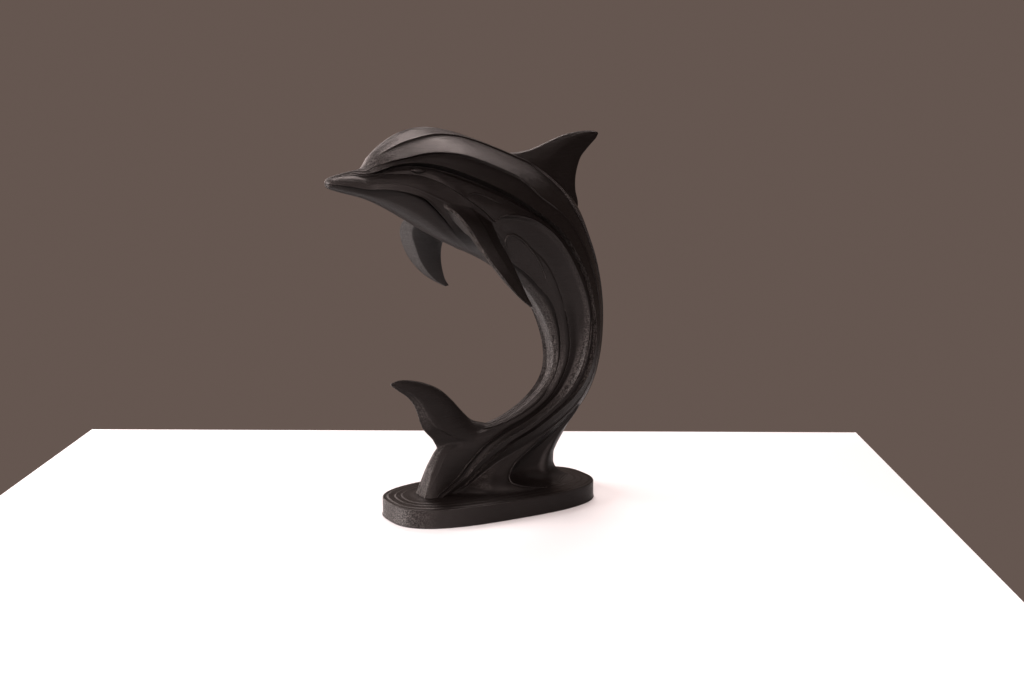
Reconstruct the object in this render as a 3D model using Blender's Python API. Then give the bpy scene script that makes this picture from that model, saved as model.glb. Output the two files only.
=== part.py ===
"""Leaping dolphin statue on an oval plinth: one printed piece, in metres, +Z up, plinth underside at z = 0.

The dolphin looks towards -X. The figure's tables are drawn in parts: from GROUND_LEVEL, where the plinth's
top is, to HEAD_LEVEL they span FIGURE_HEIGHT. In them x runs from snout to back and z is up.
"""
import math

import bmesh
import bpy
import numpy as np

FIGURE_HEIGHT = 0.1669
CARVING_DEPTH = 1.0

PLINTH_LENGTH = 0.104
PLINTH_WIDTH = 0.052
PLINTH_HEIGHT = 0.0086
PLINTH_ROUNDNESS = 2.8
PLINTH_CROWN = 0.0009
PLINTH_EDGE = 0.0005
PLINTH_FOOT_SPREAD = 0.0003
PLINTH_FOOT_HEIGHT = 0.0010

# The wave's foot where it meets the plinth, as shares of the plinth's length and width.
FOOT_LENGTH_SHARE = 0.755
FOOT_WIDTH_SHARE = 0.66

# Levels in the figure's tables: the plinth's top, the melon's top, and where the wave starts to spread.
GROUND_LEVEL = 8.6
HEAD_LEVEL = 175.5
FLARE_LEVEL = 17.0
PART = FIGURE_HEIGHT / (HEAD_LEVEL - GROUND_LEVEL)

BODY_STATIONS = 59
FULL_CARVING_WIDTH = 8.5
STEP_ANGLE = math.radians(1.3)

# Trunk ribs from the snout's tip to the lower fluke: back x, z, belly x, z, half width.
RIBS = (
    (-79.2, 152.9, -79.2, 151.2, 1.0),
    (-77.8, 154.3, -78.2, 149.9, 3.0),
    (-73.5, 155.6, -74.0, 148.4, 4.6),
    (-67.5, 157.0, -68.5, 146.9, 5.8),
    (-62.0, 158.6, -62.4, 145.2, 7.2),
    (-57.8, 164.3, -56.5, 142.8, 9.2),
    (-51.0, 169.6, -50.0, 139.5, 11.8),
    (-43.0, 173.7, -42.0, 134.9, 14.4),
    (-33.5, 175.4, -32.5, 129.4, 16.6),
    (-22.5, 174.2, -22.0, 123.9, 18.4),
    (-10.0, 170.6, -11.0, 119.0, 19.6),
    (5.0, 165.3, -1.0, 114.0, 20.2),
    (20.5, 159.0, 6.0, 109.4, 20.0),
    (35.0, 149.8, 12.5, 104.4, 19.4),
    (45.0, 138.5, 18.2, 98.6, 18.4),
    (51.5, 125.0, 23.2, 92.3, 17.2),
    (56.2, 110.5, 27.4, 85.4, 16.0),
    (59.0, 96.0, 30.4, 78.1, 14.8),
    (59.8, 82.0, 32.2, 71.0, 13.6),
    (58.9, 68.5, 32.2, 64.2, 12.4),
    (55.8, 55.8, 30.4, 58.3, 11.2),
    (49.8, 45.0, 26.6, 53.0, 10.2),
    (41.0, 36.5, 21.4, 48.6, 9.4),
    (31.0, 29.5, 15.2, 44.6, 8.8),
    (21.0, 23.5, 8.0, 41.4, 8.2),
    (11.5, 18.5, 0.0, 39.4, 7.4),
    (3.0, 14.5, -9.0, 38.0, 6.4),
    (-4.5, 11.2, -18.5, 35.8, 5.4),
    (-11.0, 8.8, -27.4, 31.8, 4.9),
    (-16.5, 7.0, -32.8, 24.4, 5.4),
    (-20.6, 6.6, -36.2, 15.8, 6.4),
    (-24.0, 5.8, -39.2, 7.4, 7.6),
)

# Carved edges along the trunk: rib number, degrees round the rib from the back (0) to the belly (180).
CREST = ((0, 2), (2, 6), (3.2, 12), (4.4, 24), (5.6, 34), (7, 35), (8.5, 27), (10.5, 16), (11.8, 16),
         (12.8, 29), (13.9, 40), (14.8, 39), (16, 32), (18, 27), (20, 23), (24, 20), (31, 18))
UPPER_BAND = ((0, 4), (2, 12), (3.2, 25), (4.3, 44), (5.4, 60), (6.5, 64), (7.5, 61), (9.5, 56), (11, 57),
              (12.2, 67), (14, 66), (17, 60), (20, 62), (24, 68), (27, 50), (29, 38), (31, 50))
BROW = ((0, 8), (1.9, 20), (3, 35), (3.9, 52), (4.9, 69), (6, 71), (8, 74), (10.7, 79), (12.5, 84),
        (14, 84), (15.5, 80), (17.8, 78), (19.3, 81), (21, 90), (22.8, 96), (24.3, 96), (25.5, 85),
        (27, 66), (28.3, 51), (29.2, 54), (31, 78))
STRAP_TOP = ((0, 20), (1.9, 31), (3.5, 54), (4.3, 67), (4.9, 77), (6, 85), (7.5, 88), (8.2, 92), (9, 98),
             (9.8, 105), (10.25, 110), (10.45, 103), (10.75, 98), (11.3, 93), (12.2, 90.5), (14.2, 92),
             (16.5, 89), (18.2, 96), (20.4, 106), (22.5, 110), (24.4, 110), (25.3, 103), (26.2, 92),
             (27, 81), (28, 67), (29.3, 71), (31, 96))
RIDGE = ((0, 42), (2, 54), (4, 78), (6, 93), (9, 106), (10.3, 114.5), (11, 116), (13, 119), (15.5, 126),
         (18, 130), (20, 135), (22, 131), (24, 132), (25.7, 118), (27.2, 94), (28.4, 80), (29.4, 86),
         (31, 112))
PLATE_LOW = ((0, 68), (2, 76), (4, 91), (6, 101), (9, 113), (10, 117), (10.6, 126), (11.1, 139),
             (11.7, 144), (13.5, 144), (15, 140), (16.5, 143), (18.8, 150), (20.5, 152), (22, 144),
             (24, 146), (26, 149), (27.5, 138), (29, 126), (31, 140))
MOUTH = ((0, 95), (1.9, 98), (3, 104), (5.2, 109), (6.5, 111), (7.2, 113), (7.8, 121), (8.4, 132),
         (8.8, 140), (9.2, 148), (9.9, 161), (12, 165), (20, 168), (25.5, 166), (27.5, 152), (29, 139),
         (31, 136))
# Where the groove under the brow runs out, if that comes before the strap's top.
GROOVE_END = ((0, 180), (8.9, 180), (9.1, 99), (10, 96.5), (11.3, 93), (11.5, 180), (31, 180))

# Heights of the carving over the plain trunk: rib number, parts of the table (out is positive).
CREST_DROP = ((0, 0), (5, 0), (6.6, 0.5), (9, 0.5), (11, 0.8), (13, 1.0), (17, 0.9), (20, 0.6), (24, 0),
              (31, 0))
UPPER_RAISE = ((0, 0), (5, 0), (6.3, 1.2), (9.5, 1.3), (11, 0.9), (12.2, 0.3), (13.4, 0), (31, 0))
BROW_RAISE = ((0, 0), (3.8, 0), (5, 0.8), (7, 1.3), (10, 1.2), (13, 1.0), (20, 1.1), (27, 0.9), (31, 0.4))
GROOVE_DEPTH = ((0, 0), (3.8, 0), (4.6, 1.2), (5.4, 3.6), (6.4, 4.6), (8, 4.4), (10, 3.4), (12.5, 2.6),
                (15, 1.9), (20, 1.8), (27, 1.8), (30, 1.4), (31, 1.0))
# Share of the groove's depth that is left in the hollow under it, and where the hollow ends at the strap.
RECESS_SHARE = ((0, 0.8), (3.8, 0.8), (6, 0.85), (7.8, 0.8), (9, 0.62), (10.5, 0.62), (13, 0.5), (16, 0.1),
                (31, 0.0))
HOLLOW_END_SHARE = ((0, 0), (3.8, 0), (4.8, 0.5), (6, 0.72), (7.4, 0.7), (8.2, 0.4), (9, 0.1), (9.6, 0),
                    (31, 0))
CHEEK_SWELL = ((0, 0), (3, 0.3), (7, 0.6), (10, 0.4))
FACET_FLAT = ((26.5, 0), (28, 1.7), (31, 2.4))
STRAP_RAISE = ((0, 0), (2, 0.1), (4, -0.7), (5.2, -1.5), (7.2, -1.5), (8.6, -0.3), (9.4, 0.5), (10.1, 0.2),
               (10.4, 0.3), (10.8, 1.1), (13, 0.9), (20, 1.2), (25, 1.3), (29, 1.0), (31, 0.5))
PLATE_HOLLOW = ((0, 0), (10.4, 0), (12, 0.4), (16, 0.9), (21, 1.1), (25, 0.8), (28, 0.5), (31, 0.2))
RIDGE_RAISE = ((0, 0), (15, 0), (16.5, 1.0), (21, 1.5), (25, 1.4), (28, 1.3), (30, 0.9), (31, 0.4))
PLATE_EDGE = ((0, 0), (10.2, 0.2), (11, 1.1), (20, 1.2), (24.5, 1.0), (26.5, 0.3), (28, 0), (31, 0))
BELLY_RECESS = ((0, 0), (10.2, 0), (11.2, 1.9), (16, 2.1), (20, 2.1), (24, 1.6), (26.5, 0.4), (28, 0),
                (31, 0))
STRAP_EDGE = ((0, 0.4), (2, 1.2), (4, 2.0), (6, 2.4), (8.2, 2.5), (9.2, 1.6), (10.4, 0.2), (12, 0), (31, 0))
THROAT_RECESS = ((0, 0.4), (2, 1.2), (4, 1.9), (6, 2.2), (8.2, 2.4), (9.2, 1.2), (10.4, 0), (31, 0))

# Ribs where the side plate takes over from the cheek strap: 0 is all cheek, 1 all plate.
PLATE_STARTS = ((9.8, 0), (10.6, 1))

# Back fin: front edge x, z, rear edge x, z, half thickness, from inside the back to the tip.
BACK_FIN = (
    (-2.0, 160.0, 42.0, 126.0, 5.0),
    (9.0, 163.2, 47.4, 137.5, 3.7),
    (15.5, 163.9, 46.0, 146.0, 2.9),
    (22.5, 165.3, 46.2, 153.0, 2.4),
    (31.0, 168.5, 48.5, 160.4, 2.0),
    (39.0, 171.3, 52.0, 164.6, 1.6),
    (47.0, 172.8, 55.0, 167.5, 1.2),
    (53.5, 173.2, 57.2, 169.6, 0.9),
    (57.6, 172.6, 58.4, 171.6, 0.5),
)
# Upper fluke: front edge x, z, rear edge x, z, half thickness, from inside the tail to the tip.
UPPER_FLUKE = (
    (8.0, 36.0, -14.0, 18.0, 5.2),
    (-1.5, 39.3, -25.0, 27.0, 4.6),
    (-9.5, 41.8, -30.0, 34.9, 4.1),
    (-14.5, 46.3, -33.9, 39.2, 3.6),
    (-19.8, 52.2, -36.0, 43.2, 3.1),
    (-25.6, 57.5, -37.4, 47.6, 2.6),
    (-32.6, 61.2, -39.2, 52.0, 2.1),
    (-39.8, 63.3, -42.4, 56.0, 1.6),
    (-46.0, 64.0, -46.4, 59.0, 1.1),
    (-50.2, 63.0, -50.2, 61.9, 0.6),
)
# Thickest place along the chord at rows of each table above, and half the share that a crease takes.
BACK_FIN_CREASE = ((0, 0.34), (8, 0.34))
FLUKE_CREASE = ((0, 0.45), (1.5, 0.60), (3.5, 0.76), (5, 0.78), (7, 0.72), (9, 0.70))
CREASE_SHARE = 0.015
# Breast fin on the left: front outer corner, front inner corner, rear edge (x, y, z each), root to tip.
BREAST_FIN = (
    ((-34.0, -6.0, 149.0), (-29.0, -5.0, 143.0), (-12.0, -6.0, 146.0)),
    ((-35.6, -13.4, 146.0), (-30.0, -11.4, 140.6), (-10.6, -14.2, 141.4)),
    ((-32.2, -17.4, 142.0), (-28.2, -14.8, 137.0), (-9.2, -17.0, 136.8)),
    ((-29.4, -22.0, 138.9), (-26.2, -18.4, 133.6), (-8.5, -18.7, 132.6)),
    ((-28.2, -29.0, 134.7), (-25.2, -23.2, 130.6), (-8.4, -22.4, 128.2)),
    ((-28.0, -35.5, 130.4), (-25.0, -27.8, 129.0), (-8.5, -27.0, 124.3)),
    ((-26.6, -40.2, 125.2), (-23.6, -31.6, 125.0), (-8.3, -30.6, 121.2)),
    ((-23.1, -44.0, 118.4), (-20.0, -35.3, 118.6), (-7.4, -34.2, 116.6)),
    ((-18.4, -46.0, 111.8), (-16.0, -38.6, 112.0), (-6.0, -36.9, 111.2)),
    ((-12.6, -45.8, 105.6), (-11.0, -40.6, 106.0), (-4.3, -38.5, 106.2)),
    ((-7.6, -43.8, 101.8), (-6.8, -41.2, 102.0), (-2.7, -39.3, 102.4)),
    ((-2.4, -40.4, 98.8), (-2.2, -39.8, 98.9), (-0.8, -39.2, 99.3)),
)
# Wave under the tail: z; x of the left end, foot ridge, right ridge and right end; half widths of the foot,
# the hollow and the right ridge.
WAVE = (
    (7.0, -36.0, 30.0, 32.0, 47.0, 18.8, 18.0, 11.0),
    (8.6, -34.0, 27.0, 30.5, 44.5, 17.6, 15.6, 9.0),
    (9.2, -28.5, 22.0, 29.8, 42.6, 17.0, 12.6, 7.8),
    (9.9, -22.5, 16.6, 29.2, 40.8, 16.4, 9.4, 6.9),
    (11.0, -17.0, 10.4, 28.6, 38.8, 15.6, 6.6, 6.0),
    (12.2, -14.4, 6.2, 28.1, 37.2, 14.6, 4.9, 5.3),
    (13.5, -12.6, 3.8, 27.8, 35.8, 13.2, 3.8, 4.8),
    (15.0, -10.8, 3.8, 27.6, 34.8, 11.6, 3.1, 4.5),
    (17.0, -9.0, 5.0, 27.8, 34.2, 10.2, 2.8, 4.3),
    (21.0, -4.6, 8.4, 29.0, 34.4, 9.0, 2.9, 4.1),
    (25.0, 0.6, 14.4, 31.0, 36.2, 8.4, 3.3, 4.2),
    (29.5, 8.0, 21.0, 33.6, 39.1, 8.2, 4.1, 4.5),
    (34.0, 18.0, 27.4, 37.0, 42.0, 8.0, 5.2, 5.1),
    (39.0, 27.0, 33.4, 41.0, 45.4, 8.0, 6.3, 5.7),
    (44.0, 33.0, 38.0, 44.0, 48.0, 8.0, 7.2, 6.3),
    (50.0, 37.0, 41.0, 46.0, 50.5, 7.6, 7.2, 6.4),
)
# Eye bump, left side: rib number, degrees, half length, half height, rise.
EYE = (7.15, 80.4, 3.3, 1.25, 1.7)
EYE_SINK = -2.9


def smooth_line(keys, at):
    """Value of a table at the given places, through every key without overshoot."""
    keys = np.asarray(keys, float)
    x = keys[:, 0]
    y = keys[:, 1]
    step = np.diff(x)
    slope = np.diff(y) / step
    tangent = np.zeros(len(x))
    for i in range(1, len(x) - 1):
        if slope[i - 1] * slope[i] > 0:
            a = 2 * step[i] + step[i - 1]
            b = step[i] + 2 * step[i - 1]
            tangent[i] = (a + b) / (a / slope[i - 1] + b / slope[i])
    tangent[0] = slope[0]
    tangent[-1] = slope[-1]
    at = np.clip(np.asarray(at, float), x[0], x[-1])
    i = np.clip(np.searchsorted(x, at, side="right") - 1, 0, len(x) - 2)
    t = (at - x[i]) / step[i]
    return (y[i] * (1 + 2 * t) * (1 - t) ** 2 + tangent[i] * step[i] * t * (1 - t) ** 2
            + y[i + 1] * t ** 2 * (3 - 2 * t) + tangent[i + 1] * step[i] * t ** 2 * (t - 1))


def smooth_rows(rows, at):
    """Rows of a table at fractional row numbers, on one smooth curve through all of them."""
    rows = np.asarray(rows, float)
    ends = np.vstack([2 * rows[:1] - rows[1:2], rows, 2 * rows[-1:] - rows[-2:-1]])
    i = np.clip(np.floor(at).astype(int), 0, len(rows) - 2)
    t = (at - i)[:, None]
    p0, p1, p2, p3 = ends[i], ends[i + 1], ends[i + 2], ends[i + 3]
    return 0.5 * (2 * p1 + (p2 - p0) * t + (2 * p0 - 5 * p1 + 4 * p2 - p3) * t ** 2
                  + (3 * p1 - p0 - 3 * p2 + p3) * t ** 3)


def lobes(at, angle, raise_by):
    """Points on the left half of the trunk for stations and their own rows of angles and heights."""
    ribs = smooth_rows(RIBS, at)
    back = ribs[:, None, 0:2]
    belly = ribs[:, None, 2:4]
    width = ribs[:, None, 4]
    half = (back - belly) / 2
    depth = np.linalg.norm(half, axis=2)
    along = half / depth[..., None]
    c = np.cos(angle)
    s = np.sin(angle)
    n_along = c / depth
    n_side = s / width
    n = np.hypot(n_along, n_side)
    n_along = n_along / n
    n_side = n_side / n
    fade = np.minimum(1.0, width / FULL_CARVING_WIDTH)
    h = raise_by * fade * CARVING_DEPTH
    radial = depth * c + h * n_along
    side = width * s + h * n_side
    mid = (back + belly) / 2
    place = mid + along * radial[..., None]
    return np.stack([place[..., 0], -side, place[..., 1]], axis=2)


def trunk_rows(at):
    """Angle and height of every carved row at the stations; each edge is a pair of rows."""
    def line(keys):
        return smooth_line(keys, at)
    edge = [np.radians(line(keys)) for keys in (CREST, UPPER_BAND, BROW, STRAP_TOP, RIDGE, PLATE_LOW, MOUTH)]
    crest, upper, brow, strap, ridge, plate, mouth = edge
    gap = STEP_ANGLE
    drop = line(CREST_DROP)
    groove = line(GROOVE_DEPTH)
    recess = line(RECESS_SHARE)
    hollow_end = line(HOLLOW_END_SHARE)
    groove_end = np.minimum(strap, np.radians(line(GROOVE_END)))
    hollow = line(PLATE_HOLLOW)
    rise = line(RIDGE_RAISE)
    belly = line(BELLY_RECESS)
    throat = line(THROAT_RECESS)
    flat = line(FACET_FLAT)
    nothing = np.zeros(len(at))
    rows = [
        (nothing, nothing),
        (crest - gap, nothing),
        (crest + gap, -drop),
        ((crest + upper) / 2, line(UPPER_RAISE) * 0.3 - drop * 0.4),
        (upper - gap, line(UPPER_RAISE)),
        (upper + gap, nothing),
        ((upper + brow) / 2, line(BROW_RAISE) * 0.5),
        (brow - gap, line(BROW_RAISE)),
        (brow + gap, -groove),
        (brow + 0.26 * (groove_end - brow), -groove * recess),
        (brow + 0.70 * (groove_end - brow), -groove * np.maximum(recess * 0.6, hollow_end)),
        (strap - gap, -groove * hollow_end),
        (strap + gap, line(STRAP_RAISE)),
        (strap + 0.20 * (ridge - strap), -hollow * 0.3),
        (strap + 0.60 * (ridge - strap), -hollow),
        (ridge - gap, rise - hollow * 0.6),
        (ridge + gap, -rise * 0.3),
        ((ridge + plate) / 2, line(PLATE_EDGE) * 0.6),
        (plate - gap, line(PLATE_EDGE)),
        (plate + gap, -belly),
        (plate + 0.35 * (mouth - plate), line(STRAP_EDGE) * 0.3 - belly * 0.4),
        (mouth - gap, line(STRAP_EDGE)),
        (mouth + gap, -throat),
        (mouth + 0.25 * (math.pi - mouth), -throat * 0.6 - flat * 0.55),
        (mouth + 0.55 * (math.pi - mouth), -throat * 0.1 - flat * 0.86),
        (nothing + math.pi, -flat),
    ]
    angle = np.stack([row[0] for row in rows], axis=1)
    height = np.stack([row[1] for row in rows], axis=1)
    over = np.clip((angle - strap[:, None]) / (mouth - strap)[:, None], 0.0, 1.0)
    cheek = (line(STRAP_RAISE)[:, None] * (1 - over) + line(STRAP_EDGE)[:, None] * over
             + line(CHEEK_SWELL)[:, None] * 4 * over * (1 - over))
    on_cheek = (angle > strap[:, None]) & (angle < mouth[:, None])
    front = np.where(on_cheek, 1 - line(PLATE_STARTS)[:, None], 0.0)
    height = height * (1 - front) + cheek * front
    floor = np.linspace(0.0, 0.02, angle.shape[1])[None, :]
    angle = np.maximum.accumulate(angle + floor, axis=1)
    angle = np.minimum(angle, math.pi)
    angle[:, 0] = 0.0
    angle[:, -1] = math.pi
    return angle, height


def body_stations(count):
    """Stations along the trunk, closer at the snout and at the front corner of the side plate."""
    keys = ((0.0, 0.0), (0.08, 1.6), (0.26, 7.6), (0.36, 9.9), (0.48, 11.2), (0.62, 16.0), (1.0, 31.0))
    return smooth_line(keys, np.linspace(0.0, 1.0, count))


def trunk_rings():
    at = body_stations(BODY_STATIONS)
    angle, height = trunk_rows(at)
    left = lobes(at, angle, height)
    right = left[:, -2:0:-1] * np.array([1.0, -1.0, 1.0])
    left[:, 0, 1] = 0.0
    left[:, -1, 1] = 0.0
    return np.concatenate([left, right], axis=1)


def lens_rings(table, creases, step, count):
    """Rings of a flat fin whose edges lie in the mid plane.

    creases holds the thickest place as a share of the chord at rows of the table; behind it the thickness
    drops by step, as a share of itself.
    """
    at = np.linspace(0, len(table) - 1, count)
    rings = []
    for row, crease in zip(smooth_rows(table, at), smooth_line(creases, at)):
        profile = ((0.0, 0.0), (0.07, 0.42), (0.5 * crease + 0.05, 0.88), (crease - CREASE_SHARE, 1.0),
                   (crease + CREASE_SHARE, 1.0 - step), (crease + 0.35 * (1 - crease), 0.70 - 0.4 * step),
                   (0.95, 0.25), (1.0, 0.0))
        front = row[0:2]
        rear = row[2:4]
        ring = [(front + u * (rear - front), -v * row[4]) for u, v in profile]
        ring += [(front + u * (rear - front), v * row[4]) for u, v in profile[-2:0:-1]]
        rings.append([(p[0], y, p[1]) for p, y in ring])
    return np.array(rings)


def breast_rings(side, count=21):
    """Rings of a breast fin: a broad outer face with a crease, a front facet and an inner face."""
    rows = smooth_rows([np.ravel(row) for row in BREAST_FIN], np.linspace(0, len(BREAST_FIN) - 1, count))
    rings = []
    for row in rows:
        outer, inner, rear = row[0:3], row[3:6], row[6:9]
        chord = rear - outer
        face = np.cross(chord, inner - outer)
        run = np.cross(face, chord)
        out = -run / np.linalg.norm(run)
        bulge = 0.045 * np.linalg.norm(chord)
        ring = [outer + 0.10 * (inner - outer), outer + 0.05 * chord + out * bulge * 0.7,
                outer + 0.54 * chord + out * bulge * 2.3, outer + 0.57 * chord + out * bulge * 1.7,
                outer + 0.82 * chord + out * bulge * 0.8, rear,
                rear + 0.35 * (inner - rear) - out * bulge * 0.3,
                inner + 0.12 * (rear - inner) - out * bulge * 0.2, inner,
                0.5 * (inner + outer) - out * bulge * 0.1]
        rings.append([(p[0], p[1] * side, p[2]) for p in ring])
    return np.array(rings)


def wave_rings(count=22, across=16):
    """Level rings of the wave that carries the tail; its foot spreads with the plinth."""
    table = np.array(WAVE)
    left, end, foot_w = table[table[:, 0] == GROUND_LEVEL][0, [1, 4, 5]]
    longer = FOOT_LENGTH_SHARE * PLINTH_LENGTH / ((end - left) * PART) - 1.0
    wider = FOOT_WIDTH_SHARE * PLINTH_WIDTH / (2.0 * foot_w * PART) - 1.0
    levels = np.concatenate([table[:8, 0], np.linspace(table[8, 0], table[-1, 0], count - 8)])
    rings = []
    for z in levels:
        left, foot, right, end, foot_w, hollow_w, ridge_w = [
            smooth_line(np.stack([table[:, 0], table[:, k]], axis=1), [z])[0] for k in range(1, 8)]
        edge = ((left, 0.20 * foot_w), (left + 0.14 * (foot - left), 0.44 * foot_w),
                (left + 0.45 * (foot - left), 0.84 * foot_w), (foot - 0.1 * (foot - left), foot_w),
                (foot, 0.97 * foot_w), (foot + 0.10 * (right - foot), 0.62 * foot_w + 0.34 * hollow_w),
                (foot + 0.35 * (right - foot), 0.14 * foot_w + 0.86 * hollow_w),
                (foot + 0.62 * (right - foot), hollow_w), (foot + 0.86 * (right - foot), 1.04 * hollow_w),
                (right, max(ridge_w, 1.06 * hollow_w)),
                (right + 0.55 * (end - right), 0.66 * ridge_w), (end, 0.14 * ridge_w))
        places = np.concatenate([left + (foot - left) * np.linspace(0, 1, 6)[:-1] ** 1.4,
                                 np.linspace(foot, right, across - 8), np.linspace(right, end, 4)[1:]])
        y = smooth_line(edge, places)
        share = min(1.0, max(0.0, (FLARE_LEVEL - z) / (FLARE_LEVEL - GROUND_LEVEL)))
        places = places * (1.0 + longer * share)
        y = y * (1.0 + wider * share)
        near = [(x, -w, z) for x, w in zip(places, y)]
        far = [(x, w, z) for x, w in zip(places[::-1], y[::-1])]
        rings.append(near + far)
    return np.array(rings)


def oval_ring(length, width, z, count):
    power = 2.0 / PLINTH_ROUNDNESS
    ring = []
    for i in range(count):
        turn = 2 * math.pi * (i + 0.5) / count
        c = math.cos(turn)
        s = math.sin(turn)
        x = length / 2 * math.copysign(abs(c) ** power, c)
        y = width / 2 * math.copysign(abs(s) ** power, s)
        ring.append((x, y, z))
    return ring


def plinth_rings(count=64):
    """Oval plinth: a thin foot line, upright side, eased top edge and a low crown under the figure."""
    length = PLINTH_LENGTH
    width = PLINTH_WIDTH
    high = PLINTH_HEIGHT
    edge = PLINTH_EDGE
    steps = (
        (0.0, 0.0),
        (-PLINTH_FOOT_SPREAD, 0.4 * PLINTH_FOOT_HEIGHT),
        (0.0, PLINTH_FOOT_HEIGHT),
        (0.0, high - edge),
        (edge * 0.4, high - edge * 0.3),
        (edge * 1.4, high),
        (0.087 * width, high + PLINTH_CROWN * 0.25),
        (0.21 * width, high + PLINTH_CROWN * 0.75),
        (0.36 * width, high + PLINTH_CROWN),
    )
    return np.array([oval_ring(length - 2 * inset, width - 2 * inset, z, count) for inset, z in steps])


def on_plinth(points):
    """Points of the figure's tables in metres, standing on the plinth's top."""
    return (np.asarray(points, float) - (0.0, 0.0, GROUND_LEVEL)) * PART + (0.0, 0.0, PLINTH_HEIGHT)


def loft(name, rings):
    """Closed body over a list of rings."""
    body = bmesh.new()
    loops = [[body.verts.new(p) for p in ring] for ring in rings]
    around = len(loops[0])
    for low, high in zip(loops, loops[1:]):
        for i in range(around):
            j = (i + 1) % around
            body.faces.new((low[i], low[j], high[j], high[i]))
    body.faces.new(loops[0][::-1])
    body.faces.new(loops[-1])
    bmesh.ops.recalc_face_normals(body, faces=body.faces)
    mesh = bpy.data.meshes.new(name)
    body.to_mesh(mesh)
    body.free()
    piece = bpy.data.objects.new(name, mesh)
    bpy.context.scene.collection.objects.link(piece)
    return piece


def eye_bump(side):
    """Almond eye lying in the hollow under the brow."""
    rib, degrees, long_half, high_half, rise = EYE
    at = np.array([rib - 0.35, rib, rib + 0.35])
    angle = np.full((3, 2), math.radians(degrees))
    angle[:, 1] += 0.15
    raise_by = np.full((3, 2), EYE_SINK)
    spot = lobes(at, angle, raise_by)
    centre = spot[1, 0]
    along = spot[2, 0] - spot[0, 0]
    along /= np.linalg.norm(along)
    out = np.cross(along, spot[1, 1] - spot[1, 0])
    out /= -math.copysign(np.linalg.norm(out), out[1])
    down = np.cross(out, along)
    body = bmesh.new()
    bmesh.ops.create_uvsphere(body, u_segments=14, v_segments=8, radius=1.0)
    for vert in body.verts:
        u, v, w = vert.co
        v *= 1.0 - 0.35 * abs(u) ** 1.6
        p = centre + along * u * long_half + down * v * high_half + out * w * rise
        vert.co = on_plinth((p[0], p[1] * side, p[2]))
    body.normal_update()
    bmesh.ops.recalc_face_normals(body, faces=body.faces)
    mesh = bpy.data.meshes.new("eye_bump")
    body.to_mesh(mesh)
    body.free()
    piece = bpy.data.objects.new("eye_bump", mesh)
    bpy.context.scene.collection.objects.link(piece)
    return piece


def join(piece, helper):
    """Adds a helper body to the statue and keeps the helper out of view."""
    union = piece.modifiers.new("join_" + helper.name, "BOOLEAN")
    union.operation = "UNION"
    union.solver = "EXACT"
    union.object = helper
    helper.hide_render = True
    helper.display_type = "WIRE"


def black_plastic():
    material = bpy.data.materials.new("black_plastic")
    material.use_nodes = True
    shader = material.node_tree.nodes["Principled BSDF"]
    shader.inputs["Base Color"].default_value = (0.018, 0.017, 0.017, 1.0)
    shader.inputs["Roughness"].default_value = 0.42
    return material


def main():
    for thing in list(bpy.data.objects):
        bpy.data.objects.remove(thing)
    statue = loft("dolphin_statue", on_plinth(trunk_rings()))
    statue.data.materials.append(black_plastic())
    helpers = [
        loft("plinth_shape", plinth_rings()),
        loft("wave_shape", on_plinth(wave_rings())),
        loft("upper_fluke_shape", on_plinth(lens_rings(UPPER_FLUKE, FLUKE_CREASE, 0.16, 15))),
        loft("back_fin_shape", on_plinth(lens_rings(BACK_FIN, BACK_FIN_CREASE, 0.0, 13))),
        loft("breast_fin_left_shape", on_plinth(breast_rings(1.0))),
        loft("breast_fin_right_shape", on_plinth(breast_rings(-1.0))),
        eye_bump(1.0),
        eye_bump(-1.0),
    ]
    for helper in helpers:
        join(statue, helper)
    statue.data.polygons.foreach_set("use_smooth", [True] * len(statue.data.polygons))
    for helper in helpers:
        helper.data.polygons.foreach_set("use_smooth", [True] * len(helper.data.polygons))


main()
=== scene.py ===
"""Leaping dolphin statue: one 3-D printed piece in black plastic, with its stage.

The dolphin looks towards -X and stands on the plinth's underside at z = 0. The figure's tables are drawn in
parts: from GROUND_LEVEL, where the plinth's top is, to HEAD_LEVEL they span the figure's height.
"""
import math

import bmesh
import bpy
import numpy as np
from bpy.props import FloatProperty, FloatVectorProperty, PointerProperty
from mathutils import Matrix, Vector
from mathutils.kdtree import KDTree


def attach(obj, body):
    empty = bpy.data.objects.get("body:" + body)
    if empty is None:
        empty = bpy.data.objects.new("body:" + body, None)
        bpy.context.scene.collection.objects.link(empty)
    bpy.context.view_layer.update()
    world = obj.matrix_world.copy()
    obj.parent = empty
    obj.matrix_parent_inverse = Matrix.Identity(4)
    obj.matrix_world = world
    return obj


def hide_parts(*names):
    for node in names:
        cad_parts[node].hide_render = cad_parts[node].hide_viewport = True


bl_info = {
    "name": "Dolphin statue",
    "version": (1, 0, 0),
    "blender": (4, 5, 0),
    "location": "3D View > Sidebar > Dolphin",
    "description": "Models a leaping dolphin printed with its wave and plinth in one black plastic",
    "category": "Add Mesh",
}

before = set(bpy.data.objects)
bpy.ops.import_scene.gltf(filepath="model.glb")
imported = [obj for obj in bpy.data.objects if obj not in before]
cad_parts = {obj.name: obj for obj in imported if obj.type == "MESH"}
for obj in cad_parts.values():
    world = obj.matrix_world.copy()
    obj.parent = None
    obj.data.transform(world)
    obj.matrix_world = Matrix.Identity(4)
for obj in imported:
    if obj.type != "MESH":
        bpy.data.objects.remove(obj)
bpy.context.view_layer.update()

# Levels in the figure's tables: the plinth's top, the melon's top, and where the wave starts to spread.
GROUND_LEVEL = 8.6
HEAD_LEVEL = 175.5
FLARE_LEVEL = 17.0

# The wave's foot where it meets the plinth, as shares of the plinth's length and width.
FOOT_LENGTH_SHARE = 0.755
FOOT_WIDTH_SHARE = 0.66

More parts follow.
